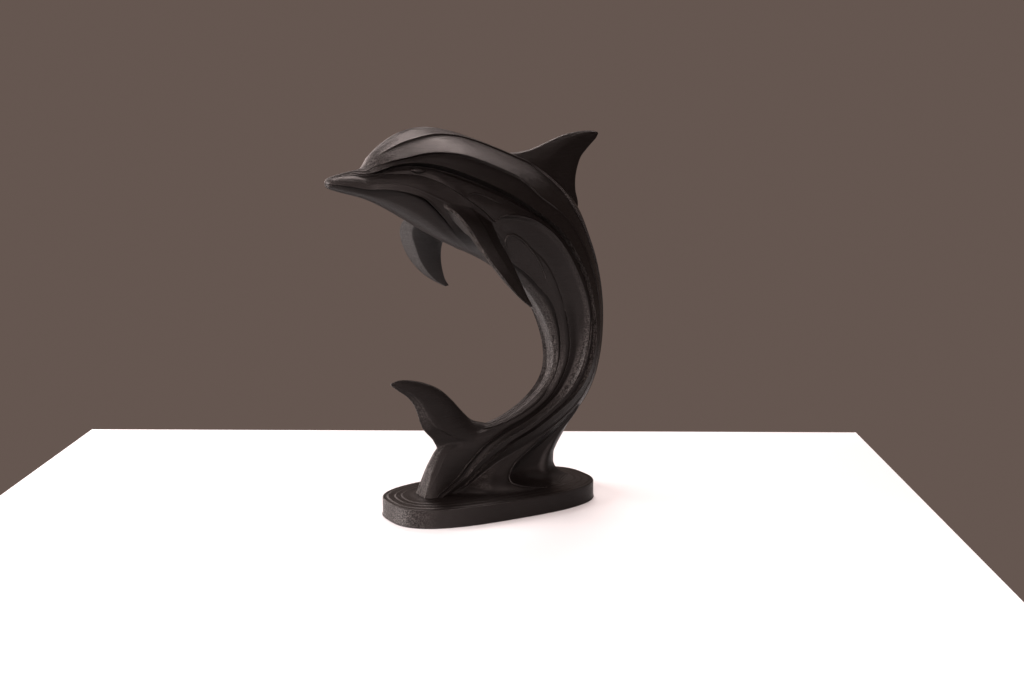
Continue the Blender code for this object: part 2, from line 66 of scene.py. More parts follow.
# Stations along the trunk, the share of them used up at a rib, and the half width, in the tables' parts, from
# which the trunk carries its carving in full.
BODY_STATIONS = 300
STATION_SPREAD = ((0.0, 0.0), (0.08, 1.6), (0.26, 7.6), (0.36, 9.9), (0.48, 11.2), (0.62, 16.0), (1.0, 31.0))
FULL_CARVING_WIDTH = 8.5
# Half the angle of a carved edge's step, the angle to the next row beside it, and a band's least angle.
EDGE_ANGLE = math.radians(0.45)
HOLD_ANGLE = math.radians(0.9)
LEAST_BAND_ANGLE = 1e-4
# Angle by which the last row runs ahead of its place, so that rows stay apart where bands close up.
ROW_LEAD = 0.01
WELD_DISTANCE = 1e-7
SMOOTH_BELOW = math.radians(52)

# Trunk ribs from the snout's tip to the lower fluke: back x, z, belly x, z, half width.
RIBS = (
    (-79.2, 152.9, -79.2, 151.2, 1.0),
    (-77.8, 154.3, -78.2, 149.9, 3.0),
    (-73.5, 155.6, -74.0, 148.4, 4.6),
    (-67.5, 157.0, -68.5, 146.9, 5.8),
    (-62.0, 158.6, -62.4, 145.2, 7.2),
    (-57.8, 164.3, -56.5, 142.8, 9.2),
    (-51.0, 169.6, -50.0, 139.5, 11.8),
    (-43.0, 173.7, -42.0, 134.9, 14.4),
    (-33.5, 175.4, -32.5, 129.4, 16.6),
    (-22.5, 174.2, -22.0, 123.9, 18.4),
    (-10.0, 170.6, -11.0, 119.0, 19.6),
    (5.0, 165.3, -1.0, 114.0, 20.2),
    (20.5, 159.0, 6.0, 109.4, 20.0),
    (35.0, 149.8, 12.5, 104.4, 19.4),
    (45.0, 138.5, 18.2, 98.6, 18.4),
    (51.5, 125.0, 23.2, 92.3, 17.2),
    (56.2, 110.5, 27.4, 85.4, 16.0),
    (59.0, 96.0, 30.4, 78.1, 14.8),
    (59.8, 82.0, 32.2, 71.0, 13.6),
    (58.9, 68.5, 32.2, 64.2, 12.4),
    (55.8, 55.8, 30.4, 58.3, 11.2),
    (49.8, 45.0, 26.6, 53.0, 10.2),
    (41.0, 36.5, 21.4, 48.6, 9.4),
    (31.0, 29.5, 15.2, 44.6, 8.8),
    (21.0, 23.5, 8.0, 41.4, 8.2),
    (11.5, 18.5, 0.0, 39.4, 7.4),
    (3.0, 14.5, -9.0, 38.0, 6.4),
    (-4.5, 11.2, -18.5, 35.8, 5.4),
    (-11.0, 8.8, -27.4, 31.8, 4.9),
    (-16.5, 7.0, -32.8, 24.4, 5.4),
    (-20.6, 6.6, -36.2, 15.8, 6.4),
    (-24.0, 5.8, -39.2, 7.4, 7.6),
)

# Carved edges along the trunk: rib number, degrees round the rib from the back (0) to the belly (180).
CREST = ((0, 2), (2, 6), (3.2, 12), (4.4, 24), (5.6, 34), (7, 35), (8.5, 27), (10.5, 16), (11.8, 16),
         (12.8, 29), (13.9, 40), (14.8, 39), (16, 32), (18, 27), (20, 23), (24, 20), (31, 18))
UPPER_BAND = ((0, 4), (2, 12), (3.2, 25), (4.3, 44), (5.4, 60), (6.5, 64), (7.5, 61), (9.5, 56), (11, 57),
              (12.2, 67), (14, 66), (17, 60), (20, 62), (24, 68), (27, 50), (29, 38), (31, 50))
BROW = ((0, 8), (1.9, 20), (3, 35), (3.9, 52), (4.9, 69), (6, 71), (8, 74), (10.7, 79), (12.5, 84),
        (14, 84), (15.5, 80), (17.8, 78), (19.3, 81), (21, 90), (22.8, 96), (24.3, 96), (25.5, 85),
        (27, 66), (28.3, 51), (29.2, 54), (31, 78))
STRAP_TOP = ((0, 20), (1.9, 31), (3.5, 54), (4.3, 67), (4.9, 77), (6, 85), (7.5, 88), (8.2, 92), (9, 98),
             (9.8, 105), (10.25, 110), (10.45, 103), (10.75, 98), (11.3, 93), (12.2, 90.5), (14.2, 92),
             (16.5, 89), (18.2, 96), (20.4, 106), (22.5, 110), (24.4, 110), (25.3, 103), (26.2, 92),
             (27, 81), (28, 67), (29.3, 71), (31, 96))
RIDGE = ((0, 42), (2, 54), (4, 78), (6, 93), (9, 106), (10.3, 114.5), (11, 116), (13, 119), (15.5, 126),
         (18, 130), (20, 135), (22, 131), (24, 132), (25.7, 118), (27.2, 94), (28.4, 80), (29.4, 86),
         (31, 112))
PLATE_LOW = ((0, 68), (2, 76), (4, 91), (6, 101), (9, 113), (10, 117), (10.6, 126), (11.1, 139),
             (11.7, 144), (13.5, 144), (15, 140), (16.5, 143), (18.8, 150), (20.5, 152), (22, 144),
             (24, 146), (26, 149), (27.5, 138), (29, 126), (31, 140))
MOUTH = ((0, 95), (1.9, 98), (3, 104), (5.2, 109), (6.5, 111), (7.2, 113), (7.8, 121), (8.4, 132),
         (8.8, 140), (9.2, 148), (9.9, 161), (12, 165), (20, 168), (25.5, 166), (27.5, 152), (29, 139),
         (31, 136))
# Where the groove under the brow runs out, if that comes before the strap's top.
GROOVE_END = ((0, 180), (8.9, 180), (9.1, 99), (10, 96.5), (11.3, 93), (11.5, 180), (31, 180))

# Heights of the carving over the plain trunk: rib number, parts of the table (out is positive).
CREST_DROP = ((0, 0), (5, 0), (6.6, 0.5), (9, 0.5), (11, 0.8), (13, 1.0), (17, 0.9), (20, 0.6), (24, 0),
              (31, 0))
UPPER_RAISE = ((0, 0), (5, 0), (6.3, 1.2), (9.5, 1.3), (11, 0.9), (12.2, 0.3), (13.4, 0), (31, 0))
BROW_RAISE = ((0, 0), (3.8, 0), (5, 0.8), (7, 1.3), (10, 1.2), (13, 1.0), (20, 1.1), (27, 0.9), (31, 0.4))
GROOVE_DEPTH = ((0, 0), (3.8, 0), (4.6, 1.2), (5.4, 3.6), (6.4, 4.6), (8, 4.4), (10, 3.4), (12.5, 2.6),
                (15, 1.9), (20, 1.8), (27, 1.8), (30, 1.4), (31, 1.0))
# Share of the groove's depth that is left in the hollow under it, and where the hollow ends at the strap.
RECESS_SHARE = ((0, 0.8), (3.8, 0.8), (6, 0.85), (7.8, 0.8), (9, 0.62), (10.5, 0.62), (13, 0.5), (16, 0.1),
                (31, 0.0))
HOLLOW_END_SHARE = ((0, 0), (3.8, 0), (4.8, 0.5), (6, 0.72), (7.4, 0.7), (8.2, 0.4), (9, 0.1), (9.6, 0),
                    (31, 0))
CHEEK_SWELL = ((0, 0), (3, 0.3), (7, 0.6), (10, 0.4))
FACET_FLAT = ((26.5, 0), (28, 1.7), (31, 2.4))
STRAP_RAISE = ((0, 0), (2, 0.1), (4, -0.7), (5.2, -1.5), (7.2, -1.5), (8.6, -0.3), (9.4, 0.5), (10.1, 0.2),
               (10.4, 0.3), (10.8, 1.1), (13, 0.9), (20, 1.2), (25, 1.3), (29, 1.0), (31, 0.5))
PLATE_HOLLOW = ((0, 0), (10.4, 0), (12, 0.4), (16, 0.9), (21, 1.1), (25, 0.8), (28, 0.5), (31, 0.2))
RIDGE_RAISE = ((0, 0), (15, 0), (16.5, 1.0), (21, 1.5), (25, 1.4), (28, 1.3), (30, 0.9), (31, 0.4))
PLATE_EDGE = ((0, 0), (10.2, 0.2), (11, 1.1), (20, 1.2), (24.5, 1.0), (26.5, 0.3), (28, 0), (31, 0))
BELLY_RECESS = ((0, 0), (10.2, 0), (11.2, 1.9), (16, 2.1), (20, 2.1), (24, 1.6), (26.5, 0.4), (28, 0),
                (31, 0))
STRAP_EDGE = ((0, 0.4), (2, 1.2), (4, 2.0), (6, 2.4), (8.2, 2.5), (9.2, 1.6), (10.4, 0.2), (12, 0), (31, 0))
THROAT_RECESS = ((0, 0.4), (2, 1.2), (4, 1.9), (6, 2.2), (8.2, 2.4), (9.2, 1.2), (10.4, 0), (31, 0))
MOUTH_SLIT = ((0, 0), (0.5, 0), (1.5, 0.7), (3, 1.0), (7, 1.0), (8.8, 0.8), (9.8, 0), (31, 0))

# Rows of the skin between neighbouring carved edges, from the back to the belly.
BAND_ROWS = (5, 9, 9, 14, 15, 9, 9, 16)
# Power that crowds a band's rows towards the carved edge that it starts from.
ROW_CROWDING = 1.35
# The band under the brow, the bands that the cheek strap spans ahead of the side plate, and how far the plate
# has taken over from the strap along the ribs.
GROOVE_BAND = 3
CHEEK_BANDS = (4, 5, 6)
PLATE_STARTS = ((9.8, 0), (10.6, 1))
# Bands whose far edge carries a fine lip, the band whose near edge does, and the lip's height along the ribs.
RIMMED_ENDS = (1, 2, 5, 6)
STRAP_BAND = 4
EDGE_RIM = ((0, 0), (1, 0.1), (4, 0.28), (24, 0.28), (29, 0.12), (31, 0))

# Back fin: front edge x, z, rear edge x, z, half thickness, from inside the back to the tip.
BACK_FIN = (
    (-2.0, 160.0, 42.0, 126.0, 5.0),
    (9.0, 163.2, 47.4, 137.5, 3.7),
    (15.5, 163.9, 46.0, 146.0, 2.9),
    (22.5, 165.3, 46.2, 153.0, 2.4),
    (31.0, 168.5, 48.5, 160.4, 2.0),
    (39.0, 171.3, 52.0, 164.6, 1.6),
    (47.0, 172.8, 55.0, 167.5, 1.2),
    (53.5, 173.2, 57.2, 169.6, 0.9),
    (57.6, 172.6, 58.4, 171.6, 0.5),
)
# Upper fluke: front edge x, z, rear edge x, z, half thickness, from inside the tail to the tip.
UPPER_FLUKE = (
    (8.0, 36.0, -14.0, 18.0, 5.2),
    (-1.5, 39.3, -25.0, 27.0, 4.6),
    (-9.5, 41.8, -30.0, 34.9, 4.1),
    (-14.5, 46.3, -33.9, 39.2, 3.6),
    (-19.8, 52.2, -36.0, 43.2, 3.1),
    (-25.6, 57.5, -37.4, 47.6, 2.6),
    (-32.6, 61.2, -39.2, 52.0, 2.1),
    (-39.8, 63.3, -42.4, 56.0, 1.6),
    (-46.0, 64.0, -46.4, 59.0, 1.1),
    (-50.2, 63.0, -50.2, 61.9, 0.6),
)
# Thickest place along the chord at rows of each table above, half the share that a crease takes, and the
# share of its thickness that the fluke loses there.
BACK_FIN_CREASE = ((0, 0.34), (8, 0.34))
FLUKE_CREASE = ((0, 0.45), (1.5, 0.60), (3.5, 0.76), (5, 0.78), (7, 0.72), (9, 0.70))
CREASE_SHARE = 0.015
FLUKE_STEP = 0.16
# Bulge of a breast fin's outer face as a share of its chord, and the corners among its ring's points.
BREAST_BULGE = 0.045
BREAST_CORNERS = (0, 1, 3, 4, 6, 9)
# Breast fin on the left: front outer corner, front inner corner, rear edge (x, y, z each), root to tip.
BREAST_FIN = (
    ((-34.0, -6.0, 149.0), (-29.0, -5.0, 143.0), (-12.0, -6.0, 146.0)),
    ((-35.6, -13.4, 146.0), (-30.0, -11.4, 140.6), (-10.6, -14.2, 141.4)),
    ((-32.2, -17.4, 142.0), (-28.2, -14.8, 137.0), (-9.2, -17.0, 136.8)),
    ((-29.4, -22.0, 138.9), (-26.2, -18.4, 133.6), (-8.5, -18.7, 132.6)),
    ((-28.2, -29.0, 134.7), (-25.2, -23.2, 130.6), (-8.4, -22.4, 128.2)),
    ((-28.0, -35.5, 130.4), (-25.0, -27.8, 129.0), (-8.5, -27.0, 124.3)),
    ((-26.6, -40.2, 125.2), (-23.6, -31.6, 125.0), (-8.3, -30.6, 121.2)),
    ((-23.1, -44.0, 118.4), (-20.0, -35.3, 118.6), (-7.4, -34.2, 116.6)),
    ((-18.4, -46.0, 111.8), (-16.0, -38.6, 112.0), (-6.0, -36.9, 111.2)),
    ((-12.6, -45.8, 105.6), (-11.0, -40.6, 106.0), (-4.3, -38.5, 106.2)),
    ((-7.6, -43.8, 101.8), (-6.8, -41.2, 102.0), (-2.7, -39.3, 102.4)),
    ((-2.4, -40.4, 98.8), (-2.2, -39.8, 98.9), (-0.8, -39.2, 99.3)),
)
# Wave under the tail: z; x of the left end, foot ridge, right ridge and right end; half widths of the foot,
# the hollow and the right ridge.
WAVE = (
    (7.0, -36.0, 30.0, 32.0, 47.0, 18.8, 18.0, 11.0),
    (8.6, -34.0, 27.0, 30.5, 44.5, 17.6, 15.6, 9.0),
    (9.2, -28.5, 22.0, 29.8, 42.6, 17.0, 12.6, 7.8),
    (9.9, -22.5, 16.6, 29.2, 40.8, 16.4, 9.4, 6.9),
    (11.0, -17.0, 10.4, 28.6, 38.8, 15.6, 6.6, 6.0),
    (12.2, -14.4, 6.2, 28.1, 37.2, 14.6, 4.9, 5.3),
    (13.5, -12.6, 3.8, 27.8, 35.8, 13.2, 3.8, 4.8),
    (15.0, -10.8, 3.8, 27.6, 34.8, 11.6, 3.1, 4.5),
    (17.0, -9.0, 5.0, 27.8, 34.2, 10.2, 2.8, 4.3),
    (21.0, -4.6, 8.4, 29.0, 34.4, 9.0, 2.9, 4.1),
    (25.0, 0.6, 14.4, 31.0, 36.2, 8.4, 3.3, 4.2),
    (29.5, 8.0, 21.0, 33.6, 39.1, 8.2, 4.1, 4.5),
    (34.0, 18.0, 27.4, 37.0, 42.0, 8.0, 5.2, 5.1),
    (39.0, 27.0, 33.4, 41.0, 45.4, 8.0, 6.3, 5.7),
    (44.0, 33.0, 38.0, 44.0, 48.0, 8.0, 7.2, 6.3),
    (50.0, 37.0, 41.0, 46.0, 50.5, 7.6, 7.2, 6.4),
)
# Points of the wave's ring ahead of its foot ridge, between the ridges and behind the right ridge, and the
# power that crowds the first of them towards the left end.
WAVE_POINTS = (16, 24, 10)
WAVE_CROWDING = 1.4
# Eye bump, left side: rib number, degrees, half length, half height, rise; then its middle's height over the
# plain trunk, how its ends are drawn in, and how far off the skin's points lie that give its direction.
EYE = (7.15, 80.4, 3.3, 1.25, 1.7)
EYE_SINK = -2.9
EYE_TAPER = 0.35
EYE_TAPER_POWER = 1.6
EYE_RIB_REACH = 0.35
EYE_TURN_REACH = 0.15

# Fine raised lines on the left side of the trunk: their path in rib numbers and degrees.
SIDE_WAVE = ((9.15, 96), (9.35, 92), (9.6, 89.8), (9.9, 89.2), (10.2, 90), (10.4, 90), (10.6, 87.5),
             (10.8, 83.5))
INNER_RIM = ((11.0, 131), (10.85, 126), (10.85, 121), (10.95, 117.5), (11.15, 115), (11.5, 115),
             (12.0, 117.5), (12.6, 121.5), (13.2, 126), (13.8, 131))
TAIL_LINE = ((17.2, 83.5), (17.6, 86.5), (18.1, 89), (18.8, 93), (19.7, 97), (20.3, 101), (21, 104.5),
             (21.8, 107))
# Fine lines: half width and rise in parts, rings for each point of a path, and the part of a sine's half turn
# that their taper follows, with its power.
LINE_HALF = 0.50
LINE_RISE = 0.62
LINE_STEPS = 12
TAPER_SPAN = (0.04, 0.96)
TAPER_POWER = 0.4
# Rim beside the wave's hollow: radius, lowest and highest level, its columns in WAVE, and which way it faces.
RIM_RADIUS = 0.42
RIM_LEVELS = (9.4, 30.0)
RIM_COLUMNS = (2, 5)
RIM_FACING = (0.0, -1.0, 0.3)

# Bodies that melt into their neighbour along the line where they meet, and the reach of that in parts.
SOFT_SEAMS = {
    ("trunk", "wave"): 1.2,
    ("trunk", "upper_fluke"): 1.6,
    ("trunk", "breast_fin"): 0.9,
    ("wave", "plinth"): 0.8,
}
SEAM_SMOOTHING = 0.5
SEAM_ROUNDS = 12
FORMS = ("trunk", "back_fin", "upper_fluke", "breast_fin", "wave", "plinth", "eye", "line")

# Share of the foot's height up to its widest ring. Then the plinth's top: inset and drop as shares of the
# edge, and inset as a share of the width with the rise as a share of the crown.
FOOT_SHARE = 0.4
PLINTH_EDGE = ((0.0, 1.0), (0.15, 0.6), (0.5, 0.2), (1.4, 0.0))
PLINTH_CROWN = ((0.087, 0.25), (0.14, 0.5), (0.21, 0.75), (0.36, 1.0))

# Camera of the photograph, in metres and degrees: place, downward pitch, turn to the right, and lens.
CAMERA_PLACE = (-0.2972, -0.5351, 0.1830)
CAMERA_PITCH = 9.77
CAMERA_TURN = 30.0
CAMERA_LENS = 47.46
SENSOR_WIDTH = 36.0

# Pale floor board under the statue.
FLOOR_SIZE = (0.441, 0.365, 1.0)
FLOOR_MIDDLE = (-0.0317, -0.0228, 0.0)
FLOOR_TURN = -31.0
FLOOR_ROUGHNESS = 0.6

# Name, place, width, height, power in watts and colour of each lamp, and the point that all of them face.
LAMPS = (
    ("left_lamp", (-1.15, 0.42, 0.49), 1.0, 0.6, 42.0, (1.0, 0.89, 0.87)),
    ("front_lamp", (-0.60, -1.04, 0.58), 0.6, 0.9, 21.0, (1.0, 0.80, 0.76)),
    ("right_lamp", (0.0, -1.24, 0.49), 0.6, 0.6, 5.5, (1.0, 0.80, 0.76)),
    ("top_lamp", (0.37, 0.65, 1.16), 0.6, 0.6, 15.0, (1.0, 0.83, 0.79)),
    ("far_lamp", (0.0, 1.24, 0.49), 0.6, 0.6, 4.0, (1.0, 0.83, 0.79)),
    ("high_lamp", (-0.10, -0.20, 1.35), 0.6, 0.6, 6.5, (1.0, 0.82, 0.78)),
)
LAMP_TARGET = (0.0, 0.0, 0.09)

# Printed surface: noise scales per metre, how much finer a noise runs up the print, and reliefs in metres.
WOBBLE_SCALE = 60.0
STREAK_SCALE = 70.0
STREAK_STRETCH = 16.0
STREAK_RELIEF = 0.00016
GRAIN_SCALE = 1500.0
GRAIN_RELIEF = 0.00006
BLOB_SCALE = 1400.0
BLOB_STRETCH = 1.8
FRONT_BLOB_RELIEF = 0.00014
UNDER_BLOB_RELIEF = 0.00030
# Shares of a layer that it wobbles by and that its bead stands out, and where its riser runs.
LAYER_WOBBLE = 0.6
BEAD_SHARE = 0.10
RISER_SPAN = (0.30, 0.70)
# Slopes between which walls that face the beak's way, and walls that face down, turn from even to rough.
# Walls that face the beak's way face the left lamp; besides their roughness they get the painted glints.
FRONT_SLOPES = (-0.35, -0.95)
UNDER_SLOPES = (-0.30, -0.80)
# Grain between which the painted glints (pale specks for the left lamp's glints) fade in, their strength, and
# how streaks and grain vary roughness and colour.
SPECK_SPAN = (0.42, 0.66)
SPECK_STRENGTH = 0.8
STREAK_ROUGHNESS = 0.22
GRAIN_ROUGHNESS = 0.10
DARKEST_SHARE = 0.75
LIGHTEST_SHARE = 1.3
PLASTIC_IOR = 1.24


class DOLPHIN_PG_figure(bpy.types.PropertyGroup):
    """Sizes of the dolphin and its carving"""

    height: FloatProperty(
        name="Height", description="From the plinth's top to the top of the head", default=0.1669, min=0.02,
        subtype="DISTANCE", unit="LENGTH")
    carving: FloatProperty(
        name="Carving depth", description="Share of the drawn depth of the carved steps and grooves",
        default=1.0, min=0.0, subtype="FACTOR")


class DOLPHIN_PG_plinth(bpy.types.PropertyGroup):
    """Sizes of the oval plinth"""

    length: FloatProperty(
        name="Length", description="Along the dolphin", default=0.104, subtype="DISTANCE", unit="LENGTH")
    width: FloatProperty(
        name="Width", description="Across the dolphin", default=0.052, subtype="DISTANCE", unit="LENGTH")
    height: FloatProperty(
        name="Height", description="Of the upright side", default=0.0086, subtype="DISTANCE", unit="LENGTH")
    roundness: FloatProperty(
        name="Roundness", description="2 is an ellipse, more is squarer", default=2.8, min=2.0)
    crown: FloatProperty(
        name="Crown", description="Rise of the top under the figure", default=0.0009, subtype="DISTANCE",
        unit="LENGTH")
    edge: FloatProperty(
        name="Edge", description="Ease of the top edge", default=0.0005, subtype="DISTANCE", unit="LENGTH")
    foot_spread: FloatProperty(
        name="Foot spread", description="How far the first printed layers stand out", default=0.0003,
        subtype="DISTANCE", unit="LENGTH")
    foot_height: FloatProperty(
        name="Foot height", description="Height of the spread first layers", default=0.0010,
        subtype="DISTANCE", unit="LENGTH")


class DOLPHIN_PG_finish(bpy.types.PropertyGroup):
    """Colour and surface of the printed plastic"""

    colour: FloatVectorProperty(
        name="Plastic", description="Colour of the plastic", default=(0.0036, 0.0028, 0.0026), size=3,
        subtype="COLOR", min=0.0, max=1.0)
    # Pale colour of the painted glints: specks on walls facing the left lamp that stand in for its glints.
    painted_glint_colour: FloatVectorProperty(
        name="Painted_glints", description="Colour of the paler specks on the rough walls",
        default=(0.085, 0.080, 0.077), size=3, subtype="COLOR", min=0.0, max=1.0)
    roughness: FloatProperty(
        name="Roughness", description="Mean roughness of the plastic", default=0.34, subtype="FACTOR")
    layer: FloatProperty(
        name="Layer", description="Height of one printed layer", default=0.00022, subtype="DISTANCE",
        unit="LENGTH")


class DOLPHIN_PG_stage(bpy.types.PropertyGroup):
    """Floor, surroundings and lights"""

    floor: FloatVectorProperty(
        name="Floor", description="Colour of the pale floor", default=(0.58, 0.61, 0.63), size=3,
        subtype="COLOR", min=0.0, max=1.0)
    surroundings: FloatVectorProperty(
        name="Surroundings", description="Colour of the room", default=(0.130, 0.094, 0.080), size=3,
        subtype="COLOR", min=0.0, max=1.0)
    light: FloatProperty(
        name="Light", description="Strength of all the lamps", default=1.0, min=0.0)


def smooth_line(keys, at):
    """Value of a table at the given places, through every key without overshoot."""
    keys = np.asarray(keys, float)
    x = keys[:, 0]
    y = keys[:, 1]
    step = np.diff(x)
    slope = np.diff(y) / step
    tangent = np.zeros(len(x))
    for i in range(1, len(x) - 1):
        if slope[i - 1] * slope[i] > 0:
            a = 2 * step[i] + step[i - 1]
            b = step[i] + 2 * step[i - 1]
            tangent[i] = (a + b) / (a / slope[i - 1] + b / slope[i])
    tangent[0] = slope[0]
    tangent[-1] = slope[-1]
    at = np.clip(np.asarray(at, float), x[0], x[-1])
    i = np.clip(np.searchsorted(x, at, side="right") - 1, 0, len(x) - 2)
    t = (at - x[i]) / step[i]
    return (y[i] * (1 + 2 * t) * (1 - t) ** 2 + tangent[i] * step[i] * t * (1 - t) ** 2
            + y[i + 1] * t ** 2 * (3 - 2 * t) + tangent[i + 1] * step[i] * t ** 2 * (t - 1))


def spline(p0, p1, p2, p3, t):
    """Point at share t of the way from p1 to p2, on a smooth curve through four points in a row."""
    return 0.5 * (2 * p1 + (p2 - p0) * t + (2 * p0 - 5 * p1 + 4 * p2 - p3) * t ** 2
                  + (3 * p1 - p0 - 3 * p2 + p3) * t ** 3)


def smooth_rows(rows, at):
    """Rows of a table at fractional row numbers, on one smooth curve through all of them."""
    rows = np.asarray(rows, float)
    ends = np.vstack([2 * rows[:1] - rows[1:2], rows, 2 * rows[-1:] - rows[-2:-1]])
    i = np.clip(np.floor(at).astype(int), 0, len(rows) - 2)
    t = (at - i)[:, None]
    return spline(ends[i], ends[i + 1], ends[i + 2], ends[i + 3], t)


def rounded_ring(points, corners, steps):
    """Closed ring through a few points, smooth everywhere but at the points whose numbers are corners."""
    points = np.asarray(points, float)
    count = len(points)
    ring = []
    for i in range(count):
        j = (i + 1) % count
        p1 = points[i]
        p2 = points[j]
        p0 = 2 * p1 - p2 if i in corners else points[i - 1]
        p3 = 2 * p2 - p1 if j in corners else points[(j + 1) % count]
        for t in np.arange(steps) / steps:
            ring.append(spline(p0, p1, p2, p3, t))
    return np.array(ring)


def part_length():
    """Length of one part of the figure's tables, in metres."""
    return bpy.context.scene.dolphin_figure.height / (HEAD_LEVEL - GROUND_LEVEL)


def on_plinth(points):
    """Points of the figure's tables in metres, standing on the plinth's top."""
    plinth_top = (0.0, 0.0, bpy.context.scene.dolphin_plinth.height)
    return (np.asarray(points, float) - (0.0, 0.0, GROUND_LEVEL)) * part_length() + plinth_top


def lobes(at, angle, raise_by):
    """Points on the left half of the trunk for stations and their own rows of angles and heights."""
    ribs = smooth_rows(RIBS, at)
    back = ribs[:, None, 0:2]
    belly = ribs[:, None, 2:4]
    width = ribs[:, None, 4]
    half = (back - belly) / 2
    depth = np.linalg.norm(half, axis=2)
    along = half / depth[..., None]
    c = np.cos(angle)
    s = np.sin(angle)
    n_along = c / depth
    n_side = s / width
    n = np.hypot(n_along, n_side)
    n_along = n_along / n
    n_side = n_side / n
    fade = np.minimum(1.0, width / FULL_CARVING_WIDTH)
    h = raise_by * fade * bpy.context.scene.dolphin_figure.carving
    radial = depth * c + h * n_along
    side = width * s + h * n_side
    mid = (back + belly) / 2
    place = mid + along * radial[..., None]
    return np.stack([place[..., 0], -side, place[..., 1]], axis=2)


def band_heights(knots, share):
    """Heights over a band's shares at every station, smooth through its few (share, height) knots."""
    heights = [smooth_line([(at, height[i, 0]) for at, height in knots], row) for i, row in enumerate(share)]
    return np.array(heights)


def trunk_rows(at):
    """Angle and height of every row of the skin at the stations.

    A carved edge is a short step of two rows. A band's profile is given by knots: the share of the way across
    it and the height there.
    """
    def line(keys):
        return smooth_line(keys, at)[:, None]

    nothing = np.zeros((len(at), 1))
    edges = [np.radians(line(keys)) for keys in (CREST, UPPER_BAND, BROW, STRAP_TOP, RIDGE, PLATE_LOW, MOUTH)]
    edges = [nothing - EDGE_ANGLE] + edges + [nothing + math.pi + EDGE_ANGLE]
    groove_end = np.radians(line(GROOVE_END))
    upper = line(UPPER_RAISE)
    brow = line(BROW_RAISE)
    groove = line(GROOVE_DEPTH)
    recess = line(RECESS_SHARE)
    hollow_end = line(HOLLOW_END_SHARE)
    hollow = line(PLATE_HOLLOW)
    crest = line(CREST_DROP)
    strap_top = line(STRAP_RAISE)
    strap_low = line(STRAP_EDGE)
    ridge = line(RIDGE_RAISE)
    plate = line(PLATE_EDGE)
    belly = line(BELLY_RECESS)
    throat = line(THROAT_RECESS)
    slit = line(MOUTH_SLIT)
    flat = line(FACET_FLAT)
    rim = line(EDGE_RIM)
    swell = line(CHEEK_SWELL)
    bands = (
        ((0, nothing), (1, nothing)),
        ((0, -crest), (0.5, upper * 0.3 - crest * 0.4), (1, upper)),
        ((0, nothing), (0.5, brow * 0.5), (1, brow)),
        ((0, -groove), (0.06, -groove), (0.26, -groove * recess),
         (0.70, -groove * np.maximum(recess * 0.6, hollow_end)), (1, -groove * hollow_end)),
        ((0, strap_top), (0.05, strap_top * 0.92), (0.20, -hollow * 0.3), (0.60, -hollow),
         (1, ridge - hollow * 0.6)),
        ((0, -ridge * 0.3), (0.5, plate * 0.6), (1, plate)),
        ((0, -belly), (0.10, -belly), (0.35, strap_low * 0.3 - belly * 0.4), (1, strap_low)),
        ((0, -throat - slit), (0.015, -throat - slit), (0.045, -throat * 0.95),
         (0.25, -throat * 0.6 - flat * 0.55), (0.5, -throat * 0.12 - flat * 0.83),
         (0.75, -flat * 0.96), (1, -flat)),
    )
    front = 1.0 - line(PLATE_STARTS)
    strap = edges[4]
    mouth = edges[7]
    angles = []
    heights = []
    for number, (start, end, rows, knots) in enumerate(zip(edges, edges[1:], BAND_ROWS, bands)):
        first = start + EDGE_ANGLE
        span = np.maximum(end - start - 2 * EDGE_ANGLE, LEAST_BAND_ANGLE)
        hold = np.minimum(HOLD_ANGLE / span, 0.5 / rows)
        even = np.linspace(0.0, 1.0, rows - 2)[None, :] ** ROW_CROWDING
        share = np.concatenate([nothing, hold + even * (1 - 2 * hold), nothing + 1], axis=1)
        band_angle = first + share * span
        if number == GROOVE_BAND:
            share = np.minimum(1.0, share * span / (np.minimum(end, groove_end) - start))
        band_height = band_heights(knots, share)
        if number in CHEEK_BANDS:
            over = np.clip((band_angle - strap) / (mouth - strap), 0.0, 1.0)
            cheek = strap_top * (1 - over) + strap_low * over + swell * 4 * over * (1 - over)
            band_height = band_height * (1 - front) + cheek * front
        if number in RIMMED_ENDS:
            band_height = band_height + rim * (share > 1 - 1.5 * hold)
        if number == STRAP_BAND:
            band_height = band_height + rim * (share < 1.5 * hold)
        angles.append(band_angle)
        heights.append(band_height)
    angle = np.concatenate(angles, axis=1)
    height = np.concatenate(heights, axis=1)
    angle = np.maximum.accumulate(angle + np.linspace(0.0, ROW_LEAD, angle.shape[1])[None, :], axis=1)
    angle = np.minimum(angle, math.pi)
    angle[:, 0] = 0.0
    angle[:, -1] = math.pi
    return angle, height


def body_stations(count):
    """Stations along the trunk, closer at the snout and at the front corner of the side plate."""
    return smooth_line(STATION_SPREAD, np.linspace(0.0, 1.0, count))


def trunk_rings():
    """Closed rings of the carved trunk, whose right side mirrors the left."""
    at = body_stations(BODY_STATIONS)
    angle, height = trunk_rows(at)
    left = lobes(at, angle, height)
    right = left[:, -2:0:-1] * np.array([1.0, -1.0, 1.0])
    left[:, 0, 1] = 0.0
    left[:, -1, 1] = 0.0
    return np.concatenate([left, right], axis=1)


